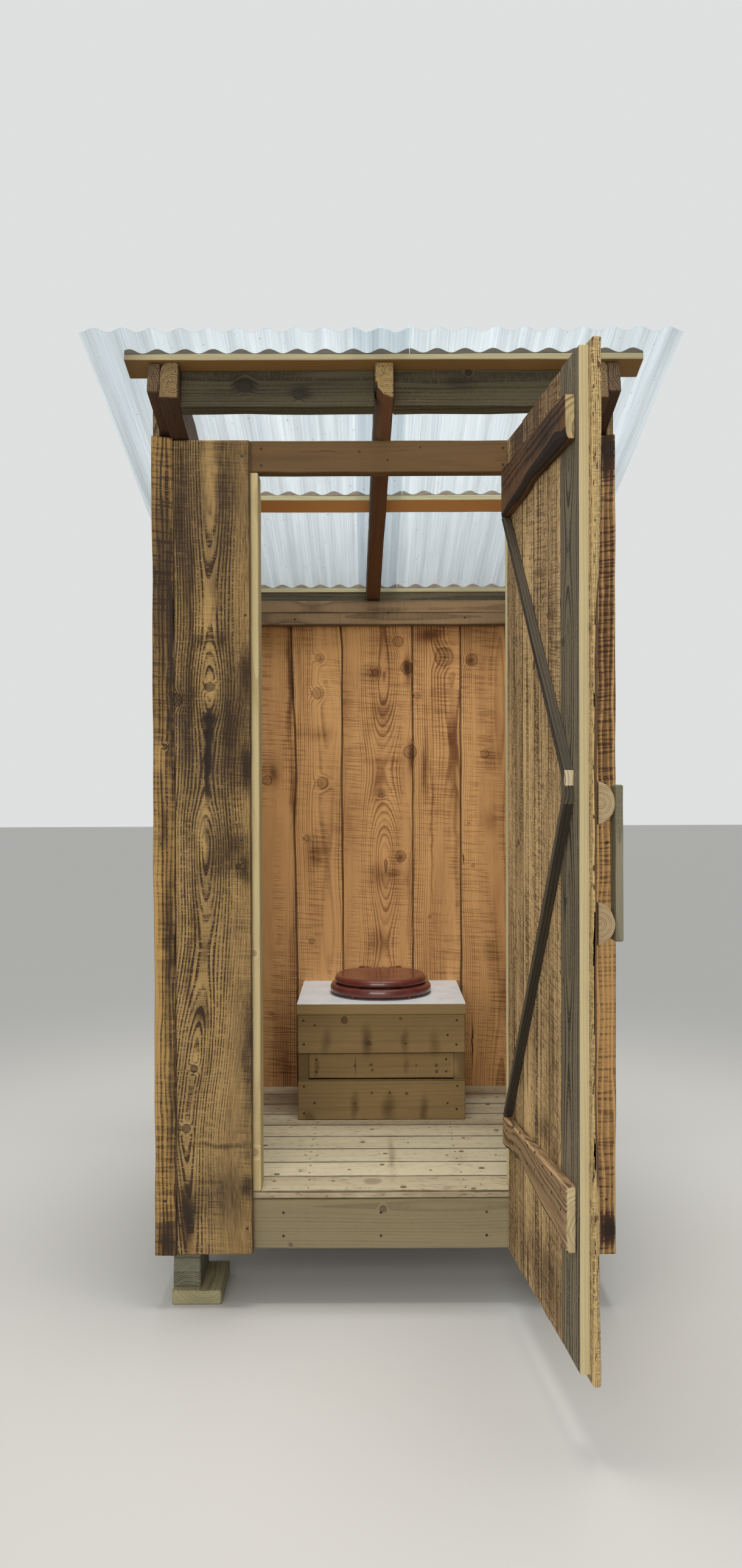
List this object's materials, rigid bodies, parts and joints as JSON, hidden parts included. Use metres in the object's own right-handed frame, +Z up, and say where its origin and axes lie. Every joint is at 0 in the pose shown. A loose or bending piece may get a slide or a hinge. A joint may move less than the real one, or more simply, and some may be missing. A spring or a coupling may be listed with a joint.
{
  "type": "wooden outhouse",
  "caption": "Small plank outhouse on stacked feet with a hinged ledged door, a box bench with a lidded seat and a lean-to roof of clear corrugated sheets.",
  "frame": {"origin": "bottom middle of the whole at rest, with the door open, on the level floor", "axes": "+Z up, front and doorway towards -Y, the door's hinge side towards +X"},
  "size_m": [1.6002, 2.2895, 2.7325],
  "materials": {
    "grey_block_wood": "weathered, rough",
    "floor_wood": "weathered, greenish tan",
    "planed_wood": "planed, pale",
    "plate_wood": "rough sawn",
    "brown_board": "rough sawn, stained brown",
    "back_board": "rough sawn, orange tan",
    "rough_grey_wood": "rough sawn, grey brown",
    "purlin_wood": "weathered grey",
    "closure_filler": "matt foam",
    "clear_sheet": "clear, slightly milky",
    "bench_board": "planed, olive tan",
    "white_bench_top": "white laminated skin",
    "seat_gloss": "glossy lacquer",
    "door_wood": "rough sawn, yellow brown",
    "dark_brace_wood": "dark grey",
    "log_slice": "end grain",
    "grip_wood": "grey brown",
    "dark_steel": "dark, dull"
  },
  "bodies": {
    "building": {"pads": "grey_block_wood", "blocks_low": "grey_block_wood", "blocks_mid": "grey_block_wood", "blocks_high": "grey_block_wood", "rim_boards": "floor_wood", "side_rims": "floor_wood", "joists": "floor_wood", "deck_boards": "floor_wood", "front_studs": "planed_wood", "rear_studs": "planed_wood", "header": "plate_wood", "rear_plate_low": "plate_wood", "rear_plate_high": "plate_wood", "side_girts": "planed_wood", "front_boards": "brown_board", "front_strips": "brown_board", "left_boards": "brown_board", "right_boards": "brown_board", "back_boards": "back_board", "rafters": "rough_grey_wood", "side_rails": "rough_grey_wood", "blocking_front": "rough_grey_wood", "blocking_rear": "rough_grey_wood", "purlins": "purlin_wood", "closure_strips": "closure_filler", "sheet_left_side": "clear_sheet", "sheet_right_side": "clear_sheet", "bench_posts": "planed_wood", "bench_front_boards": "bench_board", "bench_side_boards": "bench_board", "bench_top": "white_bench_top", "seat_ring": "seat_gloss", "seat_hinge": "seat_gloss", "hinge_leaves": "dark_steel"},
    "door": {"door_boards": "door_wood", "door_lap_board": "door_wood", "door_ledges": "door_wood", "door_braces": "dark_brace_wood", "handle_slices": "log_slice", "handle_bar": "grip_wood", "hinge_straps": "dark_steel"},
    "lid": {"seat_lid": "seat_gloss"}
  },
  "joints": [
    {"name": "door_swing", "type": "hinge", "parent": "building", "child": "door", "pos_m": [0.387, -0.3824, 0.534], "axis": [0, 0, 1], "range_deg": [-96, 69]},
    {"name": "lid_lift", "type": "hinge", "parent": "building", "child": "lid", "pos_m": [0.003, 0.7551, 0.8025], "axis": [-1, 0, 0], "range_deg": [0, 95]}
  ]
}
